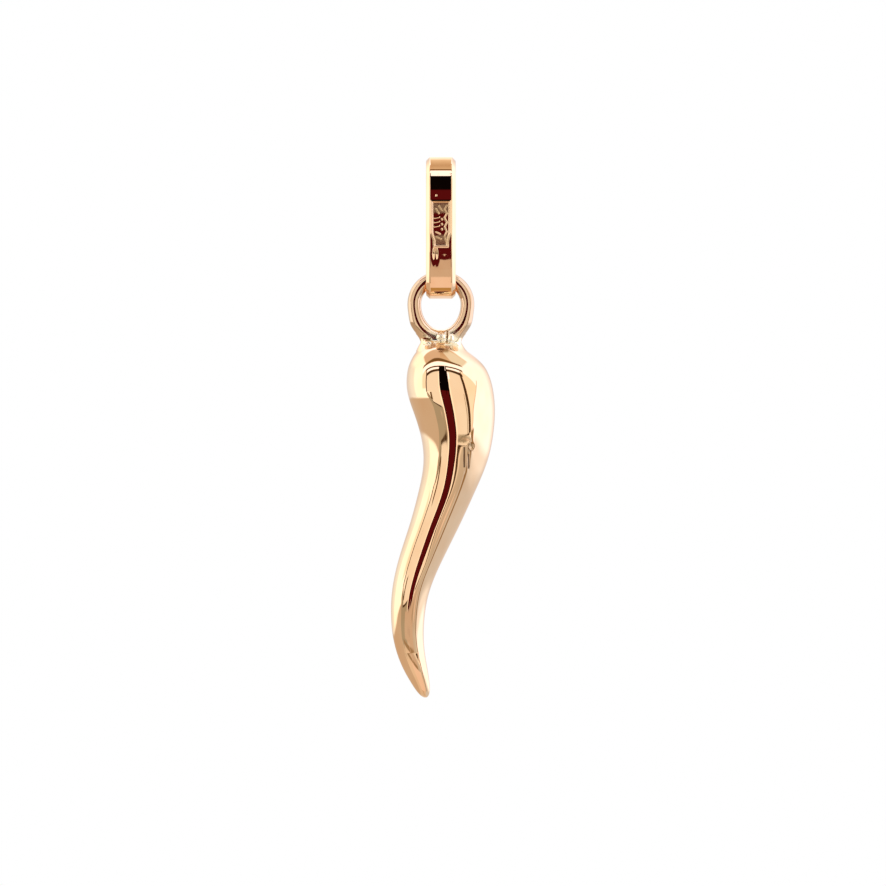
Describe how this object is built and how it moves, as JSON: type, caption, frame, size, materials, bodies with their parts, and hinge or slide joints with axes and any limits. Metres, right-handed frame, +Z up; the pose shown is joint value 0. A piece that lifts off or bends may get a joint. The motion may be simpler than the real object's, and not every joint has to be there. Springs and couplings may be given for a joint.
{
  "type": "cornicello horn pendant",
  "caption": "Small curved gold horn pendant: a round tapering S-shaped horn with a soldered ring, hung in a drop-shaped strap bail.",
  "frame": {"origin": "inside of the bail's upper bend, where a chain lies and the pendant hangs from it", "axes": "+Z up along the hanging pendant, -Y towards the wearer's front, +X to the viewer's right"},
  "size_m": [0.0063, 0.0048, 0.033],
  "materials": {
    "horn_gold": "polished rose gold",
    "bail_gold": "polished rose gold"
  },
  "bodies": {
    "bail": {"bail": "bail_gold"},
    "horn": {"horn": "horn_gold"}
  },
  "joints": [
    {"name": "horn_swing", "type": "hinge", "parent": "bail", "child": "horn", "pos_m": [0, 0, -0.007], "axis": [1, 0, 0], "range_deg": [-120, 120]}
  ]
}
